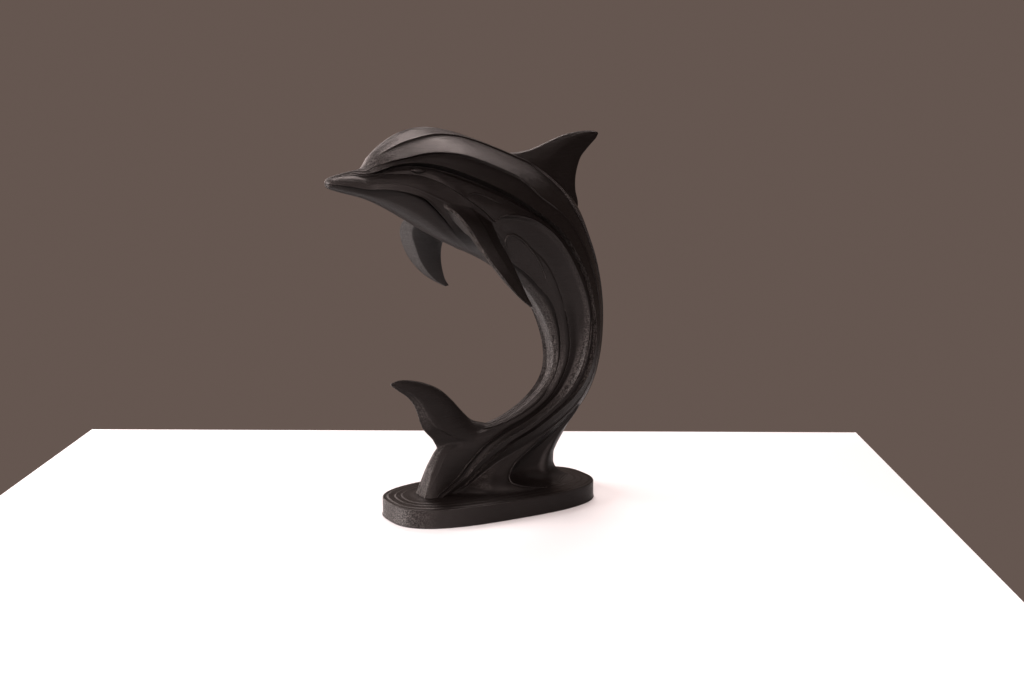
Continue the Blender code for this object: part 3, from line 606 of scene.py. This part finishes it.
def lens_rings(table, creases, step, count=50):
    """Rings of a flat fin whose edges lie in the mid plane.

    creases holds the thickest place as a share of the chord at rows of the table; behind it the thickness
    drops by step, as a share of itself.
    """
    at = np.linspace(0, len(table) - 1, count)
    rings = []
    for row, crease in zip(smooth_rows(table, at), smooth_line(creases, at)):
        profile = ((0.0, 0.0), (0.02, 0.24), (0.07, 0.42), (0.5 * crease + 0.05, 0.88),
                   (crease - CREASE_SHARE, 1.0), (crease + CREASE_SHARE, 1.0 - step),
                   (crease + 0.35 * (1 - crease), 0.70 - 0.4 * step), (0.95, 0.25), (0.99, 0.12), (1.0, 0.0))
        ahead = (crease - CREASE_SHARE) * (1 - np.cos(np.linspace(0, math.pi / 2, 13)))
        behind = 1 - (1 - crease - CREASE_SHARE) * (1 - np.cos(np.linspace(math.pi / 2, 0, 12)))
        shares = np.concatenate([ahead, behind])
        sides = smooth_line(profile, shares)
        front = row[0:2]
        rear = row[2:4]
        ring = [(front + u * (rear - front), -v * row[4]) for u, v in zip(shares, sides)]
        ring += [(front + u * (rear - front), v * row[4]) for u, v in zip(shares[-2:0:-1], sides[-2:0:-1])]
        rings.append([(p[0], y, p[1]) for p, y in ring])
    return np.array(rings)


def breast_rings(side, count=70):
    """Rings of a breast fin: a broad outer face with a crease, a front facet and an inner face."""
    rows = smooth_rows([np.ravel(row) for row in BREAST_FIN], np.linspace(0, len(BREAST_FIN) - 1, count))
    rings = []
    for row in rows:
        outer, inner, rear = row[0:3], row[3:6], row[6:9]
        chord = rear - outer
        face = np.cross(chord, inner - outer)
        run = np.cross(face, chord)
        out = -run / np.linalg.norm(run)
        bulge = BREAST_BULGE * np.linalg.norm(chord)
        rim = outer + 0.05 * chord + out * bulge * 0.7
        ring = [outer + 0.10 * (inner - outer), rim, outer + 0.22 * chord + out * bulge * 1.4,
                outer + 0.54 * chord + out * bulge * 2.3, outer + 0.57 * chord + out * bulge * 1.7,
                outer + 0.82 * chord + out * bulge * 0.8, rear,
                rear + 0.35 * (inner - rear) - out * bulge * 0.3,
                inner + 0.12 * (rear - inner) - out * bulge * 0.2, inner,
                0.5 * (inner + outer) - out * bulge * 0.1]
        ring = rounded_ring(ring, corners=BREAST_CORNERS, steps=5)
        rings.append(ring * (1.0, side, 1.0))
    return np.array(rings)


def wave_rings(count=80):
    """Level rings of the wave that carries the tail; its foot spreads with the plinth."""
    plinth = bpy.context.scene.dolphin_plinth
    part = part_length()
    table = np.array(WAVE)
    left, end, foot_w = table[table[:, 0] == GROUND_LEVEL][0, [1, 4, 5]]
    longer = FOOT_LENGTH_SHARE * plinth.length / ((end - left) * part) - 1.0
    wider = FOOT_WIDTH_SHARE * plinth.width / (2.0 * foot_w * part) - 1.0
    levels = np.linspace(table[0, 0], table[-1, 0], count)
    ahead, between, behind = WAVE_POINTS
    rings = []
    for z in levels:
        left, foot, right, end, foot_w, hollow_w, ridge_w = [
            smooth_line(table[:, [0, column]], [z])[0] for column in range(1, table.shape[1])]
        edge = ((left, 0.20 * foot_w), (left + 0.14 * (foot - left), 0.44 * foot_w),
                (left + 0.45 * (foot - left), 0.84 * foot_w), (foot - 0.1 * (foot - left), foot_w),
                (foot, 0.97 * foot_w), (foot + 0.10 * (right - foot), 0.62 * foot_w + 0.34 * hollow_w),
                (foot + 0.35 * (right - foot), 0.14 * foot_w + 0.86 * hollow_w),
                (foot + 0.62 * (right - foot), hollow_w), (foot + 0.86 * (right - foot), 1.04 * hollow_w),
                (right, max(ridge_w, 1.06 * hollow_w)),
                (right + 0.55 * (end - right), 0.66 * ridge_w), (end, 0.14 * ridge_w))
        places = np.concatenate([left + (foot - left) * np.linspace(0, 1, ahead)[:-1] ** WAVE_CROWDING,
                                 np.linspace(foot, right, between), np.linspace(right, end, behind)[1:]])
        y = smooth_line(edge, places)
        share = min(1.0, max(0.0, (FLARE_LEVEL - z) / (FLARE_LEVEL - GROUND_LEVEL)))
        places = places * (1.0 + longer * share)
        y = y * (1.0 + wider * share)
        near = [(x, -w, z) for x, w in zip(places, y)]
        far = [(x, w, z) for x, w in zip(places[::-1], y[::-1])]
        rings.append(near + far)
    return np.array(rings)


def on_skin(path, lift):
    """Points at a height over the carved skin of the trunk's left side, along a path of ribs and degrees."""
    angle, height = trunk_rows(path[:, 0])
    turn = np.radians(path[:, 1:2])
    skin = [[np.interp(place, row, values)] for place, row, values in zip(turn[:, 0], angle, height)]
    return lobes(path[:, 0], turn, np.array(skin) + lift)[:, 0]


def bead_rings(middle, out, half, rise, around=10):
    """Rings of a thin raised line that tapers to both ends."""
    along = np.gradient(middle, axis=0)
    across = np.cross(along, out)
    across /= np.linalg.norm(across, axis=1)[:, None]
    out = out / np.linalg.norm(out, axis=1)[:, None]
    taper = np.sin(np.linspace(*TAPER_SPAN, len(middle)) * math.pi) ** TAPER_POWER
    turns = np.arange(around) * 2 * math.pi / around
    rings = []
    for point, side, up, far in zip(middle, across, out, taper):
        rings.append([point + far * (half * math.cos(turn) * side + rise * math.sin(turn) * up)
                      for turn in turns])
    return np.array(rings)


def side_line_rings(path):
    """Rings of a fine raised line on the trunk's left side."""
    path = smooth_rows(path, np.linspace(0, len(path) - 1, LINE_STEPS * len(path)))
    low = on_skin(path, 0.0)
    return bead_rings(low, on_skin(path, 1.0) - low, LINE_HALF, LINE_RISE)


def wave_rim_rings(count=60):
    """Rings of the rim along the wave's foot ridge, beside its hollow, on the left side."""
    table = np.array(WAVE)
    levels = np.linspace(*RIM_LEVELS, count)
    x, y = [smooth_line(table[:, [0, column]], levels) for column in RIM_COLUMNS]
    middle = np.stack([x, -y, levels], axis=1)
    out = np.tile(RIM_FACING, (count, 1))
    return bead_rings(middle, out, RIM_RADIUS, RIM_RADIUS)


def finish_edit():
    """Makes the open mesh face outwards and leaves edit mode."""
    bpy.ops.mesh.select_all(action="SELECT")
    bpy.ops.mesh.normals_make_consistent(inside=False)
    bpy.ops.object.mode_set(mode="OBJECT")


def name_form(piece, name, form):
    """Names a body and marks its faces with the form that they belong to."""
    piece.name = name
    piece.data.name = name
    mark = piece.data.attributes.new("form", "INT", "FACE")
    mark.data.foreach_set("value", [FORMS.index(form)] * len(piece.data.polygons))
    return piece


def grid_over(name, form, rings):
    """Body whose skin is a grid laid over closed rings, welded along its seam and closed at both ends."""
    rings = np.asarray(rings, float)
    count, around = rings.shape[:2]
    bpy.ops.object.select_all(action="DESELECT")
    bpy.ops.mesh.primitive_grid_add(x_subdivisions=around, y_subdivisions=count - 1, size=0.1)
    piece = bpy.context.object
    closed = np.concatenate([rings, rings[:, :1]], axis=1)
    piece.data.vertices.foreach_set("co", closed.ravel())
    bpy.ops.object.mode_set(mode="EDIT")
    bpy.ops.mesh.select_mode(type="EDGE")
    bpy.ops.mesh.select_all(action="SELECT")
    bpy.ops.mesh.remove_doubles(threshold=WELD_DISTANCE)
    bpy.ops.mesh.select_all(action="DESELECT")
    bpy.ops.mesh.select_non_manifold()
    bpy.ops.mesh.fill_holes(sides=0)
    finish_edit()
    return name_form(piece, name, form)


def unite(piece, helper):
    """Joins a body to the statue for good."""
    union = piece.modifiers.new("join_" + helper.name, "BOOLEAN")
    union.operation = "UNION"
    union.solver = "EXACT"
    union.object = helper
    bpy.context.view_layer.objects.active = piece
    bpy.ops.object.modifier_apply(modifier=union.name)
    bpy.data.objects.remove(helper)


def soften_seams(piece):
    """Lets the forms named in SOFT_SEAMS melt into each other near the line where they meet."""
    part = part_length()
    body = bmesh.new()
    body.from_mesh(piece.data)
    form = body.faces.layers.int["form"]
    seams = {pair: [] for pair in SOFT_SEAMS}
    for edge in body.edges:
        if len(edge.link_faces) == 2:
            pair = tuple(sorted((FORMS[face[form]] for face in edge.link_faces), key=FORMS.index))
            if pair in seams:
                seams[pair].append((edge.verts[0].co + edge.verts[1].co) / 2)
    places = [vert.co.copy() for vert in body.verts]
    body.free()
    weight = np.zeros(len(places))
    for pair, points in seams.items():
        reach = SOFT_SEAMS[pair] * part
        tree = KDTree(len(points))
        for number, point in enumerate(points):
            tree.insert(point, number)
        tree.balance()
        for number, place in enumerate(places):
            distance = tree.find(place)[2]
            if distance is not None and distance < reach:
                weight[number] = max(weight[number], 1.0 - (distance / reach) ** 2)
    group = piece.vertex_groups.new(name="soft_seams")
    for number in np.flatnonzero(weight):
        group.add([int(number)], float(weight[number]), "REPLACE")
    smooth = piece.modifiers.new("soft_seams", "SMOOTH")
    smooth.vertex_group = group.name
    smooth.factor = SEAM_SMOOTHING
    smooth.iterations = SEAM_ROUNDS
    bpy.context.view_layer.objects.active = piece
    bpy.ops.object.modifier_apply(modifier=smooth.name)
    piece.vertex_groups.clear()


class Signal:
    """Output of a shader node. Python expressions on it add Math nodes, and node() adds any other."""

    def __init__(self, tree, socket=None):
        self.tree = tree
        self.socket = socket

    def node(self, kind, output=0, settings=None, **inputs):
        """Adds a node, makes its settings, then gives its sockets a value or a link.

        A socket's name has _ for a space, or is _ with the socket's number.
        """
        made = self.tree.nodes.new(kind)
        for name, value in (settings or {}).items():
            setattr(made, name, value)
        for name, value in inputs.items():
            socket = made.inputs[int(name[1:]) if name[1:].isdigit() else name.replace("_", " ")]
            if isinstance(value, Signal):
                self.tree.links.new(value.socket, socket)
            else:
                socket.default_value = value
        return Signal(self.tree, made.outputs[output])

    def math(self, operation, *values):
        """Adds a Math node."""
        inputs = {f"_{i}": value for i, value in enumerate(values)}
        return self.node("ShaderNodeMath", settings={"operation": operation}, **inputs)

    def __add__(self, other):
        return self.math("ADD", self, other)

    def __sub__(self, other):
        return self.math("SUBTRACT", self, other)

    def __rsub__(self, other):
        return self.math("SUBTRACT", other, self)

    def __mul__(self, other):
        return self.math("MULTIPLY", self, other)

    __radd__ = __add__
    __rmul__ = __mul__


def spread(signal, span, interpolation="LINEAR"):
    """Adds a Map Range node that takes the span to 0 and 1."""
    return signal.node("ShaderNodeMapRange", settings={"interpolation_type": interpolation}, Value=signal,
                       From_Min=span[0], From_Max=span[1])


def black_plastic():
    """Black printed plastic: terraced on near-level tops, beaded on upright walls, faintly streaked, with
    painted glints on walls that face the left lamp.
    """
    finish = bpy.context.scene.dolphin_finish
    material = bpy.data.materials.new("black_plastic")
    material.use_nodes = True
    tree = material.node_tree
    shader = tree.nodes["Principled BSDF"]
    start = Signal(tree)
    place = start.node("ShaderNodeTexCoord", output="Object")
    facing = start.node("ShaderNodeTexCoord", output="Normal")
    z = start.node("ShaderNodeSeparateXYZ", output="Z", Vector=place)
    level = start.node("ShaderNodeSeparateXYZ", output="Z", Vector=facing)
    wobble = start.node("ShaderNodeTexNoise", Vector=place, Scale=WOBBLE_SCALE, Detail=1.0) - 0.5
    layers = z * (1.0 / finish.layer) + wobble * LAYER_WOBBLE
    within = start.math("FRACT", layers)
    riser = spread(within, RISER_SPAN, "SMOOTHSTEP")
    terrace = (riser - within) * level * finish.layer
    bead = start.math("SINE", within * math.pi) * (finish.layer * BEAD_SHARE)
    stretched = start.node("ShaderNodeMapping", Vector=place, Scale=(1.0, 1.0, STREAK_STRETCH))
    streaks = start.node("ShaderNodeTexNoise", Vector=stretched, Scale=STREAK_SCALE, Detail=4.0,
                         Roughness=0.6)
    grain = start.node("ShaderNodeTexNoise", Vector=place, Scale=GRAIN_SCALE, Detail=2.0)
    ahead = start.node("ShaderNodeSeparateXYZ", output="X", Vector=facing)
    rough_and_glinting_front = spread(ahead, FRONT_SLOPES)
    rough_under = spread(level, UNDER_SLOPES)
    tall = start.node("ShaderNodeMapping", Vector=place, Scale=(1.0, 1.0, BLOB_STRETCH))
    blobs = start.node("ShaderNodeTexNoise", Vector=tall, Scale=BLOB_SCALE, Detail=2.0)
    relief = (terrace + bead + streaks * STREAK_RELIEF + grain * GRAIN_RELIEF
              + blobs * (rough_and_glinting_front * FRONT_BLOB_RELIEF + rough_under * UNDER_BLOB_RELIEF))
    bump = start.node("ShaderNodeBump", Height=relief, Distance=1.0, Strength=1.0)
    tree.links.new(bump.socket, shader.inputs["Normal"])
    roughness = finish.roughness + (streaks - 0.5) * STREAK_ROUGHNESS + (grain - 0.5) * GRAIN_ROUGHNESS
    tree.links.new(roughness.socket, shader.inputs["Roughness"])
    darker = [channel * DARKEST_SHARE for channel in finish.colour]
    lighter = [channel * LIGHTEST_SHARE for channel in finish.colour]
    colour = start.node("ShaderNodeMix", output=2, settings={"data_type": "RGBA"}, _0=streaks,
                        _6=(*darker, 1.0), _7=(*lighter, 1.0))
    # Painted glints: pale specks mixed into the colour on walls facing the beak's way, towards the left lamp,
    # in place of its glints.
    specks = spread(grain, SPECK_SPAN) * rough_and_glinting_front * SPECK_STRENGTH
    colour = start.node("ShaderNodeMix", output=2, settings={"data_type": "RGBA"}, _0=specks, _6=colour,
                        _7=(*finish.painted_glint_colour, 1.0))
    tree.links.new(colour.socket, shader.inputs["Base Color"])
    shader.inputs["IOR"].default_value = PLASTIC_IOR
    return material


def floor_paint():
    """Even pale paint."""
    settings = bpy.context.scene.dolphin_stage
    material = bpy.data.materials.new("floor_paint")
    material.use_nodes = True
    shader = material.node_tree.nodes["Principled BSDF"]
    shader.inputs["Base Color"].default_value = (*settings.floor, 1.0)
    shader.inputs["Roughness"].default_value = FLOOR_ROUGHNESS
    return material


class DOLPHIN_OT_trunk(bpy.types.Operator):
    """Model the trunk from the beak's tip to the lower fluke, with its carved edges"""

    bl_idname = "dolphin.trunk"
    bl_label = "Trunk"

    def execute(self, context):
        grid_over("trunk", "trunk", on_plinth(trunk_rings()))
        return {"FINISHED"}


class DOLPHIN_OT_eyes(bpy.types.Operator):
    """Model the two almond eyes in the hollow under the brow"""

    bl_idname = "dolphin.eyes"
    bl_label = "Eyes"

    def execute(self, context):
        rib, degrees, long_half, high_half, rise = EYE
        at = np.array([rib - EYE_RIB_REACH, rib, rib + EYE_RIB_REACH])
        angle = np.full((3, 2), math.radians(degrees))
        angle[:, 1] += EYE_TURN_REACH
        spot = lobes(at, angle, np.full((3, 2), EYE_SINK))
        centre = spot[1, 0]
        along = spot[2, 0] - spot[0, 0]
        along /= np.linalg.norm(along)
        out = np.cross(along, spot[1, 1] - spot[1, 0])
        out /= -math.copysign(np.linalg.norm(out), out[1])
        down = np.cross(out, along)
        for side, name in ((1.0, "eye_left"), (-1.0, "eye_right")):
            bpy.ops.object.select_all(action="DESELECT")
            bpy.ops.mesh.primitive_uv_sphere_add(segments=40, ring_count=20, radius=1.0)
            eye = bpy.context.object
            for vert in eye.data.vertices:
                u, v, w = vert.co
                v *= 1.0 - EYE_TAPER * abs(u) ** EYE_TAPER_POWER
                p = centre + along * u * long_half + down * v * high_half + out * w * rise
                vert.co = on_plinth(p * (1.0, side, 1.0))
            bpy.ops.object.mode_set(mode="EDIT")
            finish_edit()
            name_form(eye, name, "eye")
        return {"FINISHED"}


class DOLPHIN_OT_fins(bpy.types.Operator):
    """Model the back fin, the two breast fins and the raised upper fluke"""

    bl_idname = "dolphin.fins"
    bl_label = "Fins"

    def execute(self, context):
        grid_over("back_fin", "back_fin", on_plinth(lens_rings(BACK_FIN, BACK_FIN_CREASE, 0.0)))
        grid_over("upper_fluke", "upper_fluke", on_plinth(lens_rings(UPPER_FLUKE, FLUKE_CREASE, FLUKE_STEP)))
        grid_over("breast_fin_left", "breast_fin", on_plinth(breast_rings(1.0)))
        grid_over("breast_fin_right", "breast_fin", on_plinth(breast_rings(-1.0)))
        return {"FINISHED"}


class DOLPHIN_OT_wave(bpy.types.Operator):
    """Model the wave that carries the tail"""

    bl_idname = "dolphin.wave"
    bl_label = "Wave"

    def execute(self, context):
        grid_over("wave", "wave", on_plinth(wave_rings()))
        return {"FINISHED"}


class DOLPHIN_OT_lines(bpy.types.Operator):
    """Model the fine raised lines on both sides of the trunk and round the wave's hollow"""

    bl_idname = "dolphin.lines"
    bl_label = "Fine lines"

    def execute(self, context):
        lines = {
            "side_wave": side_line_rings(SIDE_WAVE),
            "inner_rim": side_line_rings(INNER_RIM),
            "tail_line": side_line_rings(TAIL_LINE),
            "hollow_rim": wave_rim_rings(),
        }
        for name, rings in lines.items():
            grid_over(name + "_left", "line", on_plinth(rings))
            grid_over(name + "_right", "line", on_plinth(rings * (1.0, -1.0, 1.0)))
        return {"FINISHED"}


class DOLPHIN_OT_plinth(bpy.types.Operator):
    """Model the oval plinth: an oval extruded up its side, over its eased edge and onto its low crown"""

    bl_idname = "dolphin.plinth"
    bl_label = "Plinth"

    def execute(self, context):
        size = context.scene.dolphin_plinth
        bpy.ops.object.select_all(action="DESELECT")
        bpy.ops.mesh.primitive_circle_add(vertices=192, radius=1.0, fill_type="NGON")
        plinth = bpy.context.object
        power = 2.0 / size.roundness
        for vert in plinth.data.vertices:
            x, y, _ = vert.co
            vert.co = (size.length / 2 * math.copysign(abs(x) ** power, x),
                       size.width / 2 * math.copysign(abs(y) ** power, y), 0.0)
        steps = [(-size.foot_spread, FOOT_SHARE * size.foot_height), (0.0, size.foot_height)]
        steps += [(size.edge * inset, size.height - size.edge * drop) for inset, drop in PLINTH_EDGE]
        steps += [(size.width * inset, size.height + size.crown * rise) for inset, rise in PLINTH_CROWN]
        bpy.ops.object.mode_set(mode="EDIT")
        bpy.ops.mesh.select_mode(type="FACE")
        bpy.ops.mesh.select_all(action="SELECT")
        inset_now = 0.0
        level_now = 0.0
        for inset, level in steps:
            bpy.ops.mesh.extrude_region_move(TRANSFORM_OT_translate={"value": (0.0, 0.0, level - level_now)})
            shrink = ((size.length - 2 * inset) / (size.length - 2 * inset_now),
                      (size.width - 2 * inset) / (size.width - 2 * inset_now), 1.0)
            bpy.ops.transform.resize(value=shrink, center_override=(0.0, 0.0, level))
            inset_now = inset
            level_now = level
        finish_edit()
        name_form(plinth, "plinth", "plinth")
        return {"FINISHED"}


class DOLPHIN_OT_print(bpy.types.Operator):
    """Join the bodies into the one printed statue and give it its plastic"""

    bl_idname = "dolphin.print"
    bl_label = "Print as one piece"

    def execute(self, context):
        statue = bpy.data.objects["trunk"]
        meshes = [piece for piece in bpy.data.objects if piece.type == "MESH"]
        bodies = [piece for piece in meshes if "form" in piece.data.attributes and piece != statue]
        for body in bodies:
            unite(statue, body)
        soften_seams(statue)
        statue.name = "printed_dolphin"
        statue.data.name = "printed_dolphin"
        statue.data.materials.clear()
        statue.data.materials.append(black_plastic())
        bpy.ops.object.select_all(action="DESELECT")
        statue.select_set(True)
        context.view_layer.objects.active = statue
        bpy.ops.object.shade_smooth_by_angle(angle=SMOOTH_BELOW)
        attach(statue, "root")
        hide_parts("dolphin_statue")
        return {"FINISHED"}


class DOLPHIN_OT_stage(bpy.types.Operator):
    """Set the pale floor, the surroundings, the soft lights and the camera"""

    bl_idname = "dolphin.stage"
    bl_label = "Stage"

    def execute(self, context):
        settings = context.scene.dolphin_stage
        bpy.ops.object.select_all(action="DESELECT")
        bpy.ops.mesh.primitive_plane_add(size=1.0)
        floor = context.object
        floor.name = "floor"
        bpy.ops.transform.resize(value=FLOOR_SIZE)
        floor.location = FLOOR_MIDDLE
        floor.rotation_euler = (0.0, 0.0, math.radians(FLOOR_TURN))
        bpy.ops.object.transform_apply(location=True, rotation=True, scale=True)
        floor.data.materials.append(floor_paint())

        world = bpy.data.worlds.new("surroundings")
        context.scene.world = world
        world.use_nodes = True
        background = world.node_tree.nodes["Background"]
        background.inputs["Color"].default_value = (*settings.surroundings, 1.0)
        background.inputs["Strength"].default_value = 1.0

        for name, place, width, height, power, colour in LAMPS:
            bpy.ops.object.light_add(type="AREA", location=place)
            lamp = context.object
            lamp.name = name
            aim = Vector(LAMP_TARGET) - Vector(place)
            lamp.rotation_euler = aim.to_track_quat("-Z", "Y").to_euler()
            lamp.data.shape = "RECTANGLE"
            lamp.data.size = width
            lamp.data.size_y = height
            lamp.data.energy = power * settings.light
            lamp.data.color = colour

        tilt = math.radians(90.0 - CAMERA_PITCH)
        turn = math.radians(-CAMERA_TURN)
        bpy.ops.object.camera_add(location=CAMERA_PLACE, rotation=(tilt, 0.0, turn))
        camera = context.object
        camera.data.lens = CAMERA_LENS
        camera.data.sensor_width = SENSOR_WIDTH
        context.scene.camera = camera
        context.scene.view_settings.view_transform = "Standard"
        return {"FINISHED"}


class DOLPHIN_PT_panel(bpy.types.Panel):
    """Sidebar panel with the statue's settings and steps"""

    bl_label = "Dolphin statue"
    bl_idname = "DOLPHIN_PT_panel"
    bl_space_type = "VIEW_3D"
    bl_region_type = "UI"
    bl_category = "Dolphin"

    def draw(self, context):
        layout = self.layout
        for name in GROUPS:
            group = getattr(context.scene, name)
            box = layout.box()
            box.label(text=name.removeprefix("dolphin_").capitalize())
            for setting in group.__annotations__:
                box.prop(group, setting)
        for operator in OPERATORS:
            layout.operator(operator.bl_idname)


GROUPS = {
    "dolphin_figure": DOLPHIN_PG_figure,
    "dolphin_plinth": DOLPHIN_PG_plinth,
    "dolphin_finish": DOLPHIN_PG_finish,
    "dolphin_stage": DOLPHIN_PG_stage,
}
OPERATORS = (
    DOLPHIN_OT_trunk,
    DOLPHIN_OT_eyes,
    DOLPHIN_OT_fins,
    DOLPHIN_OT_wave,
    DOLPHIN_OT_lines,
    DOLPHIN_OT_plinth,
    DOLPHIN_OT_print,
    DOLPHIN_OT_stage,
)


def register():
    for kind in (*GROUPS.values(), *OPERATORS, DOLPHIN_PT_panel):
        bpy.utils.register_class(kind)
    for name, group in GROUPS.items():
        setattr(bpy.types.Scene, name, PointerProperty(type=group))


def unregister():
    for name in GROUPS:
        delattr(bpy.types.Scene, name)
    for kind in (DOLPHIN_PT_panel, *OPERATORS, *GROUPS.values()):
        bpy.utils.unregister_class(kind)


def main():
    register()
    bpy.ops.dolphin.trunk()
    bpy.ops.dolphin.eyes()
    bpy.ops.dolphin.fins()
    bpy.ops.dolphin.wave()
    bpy.ops.dolphin.lines()
    bpy.ops.dolphin.plinth()
    bpy.ops.dolphin.print()
    bpy.ops.dolphin.stage()


if __name__ == "__main__":
    main()
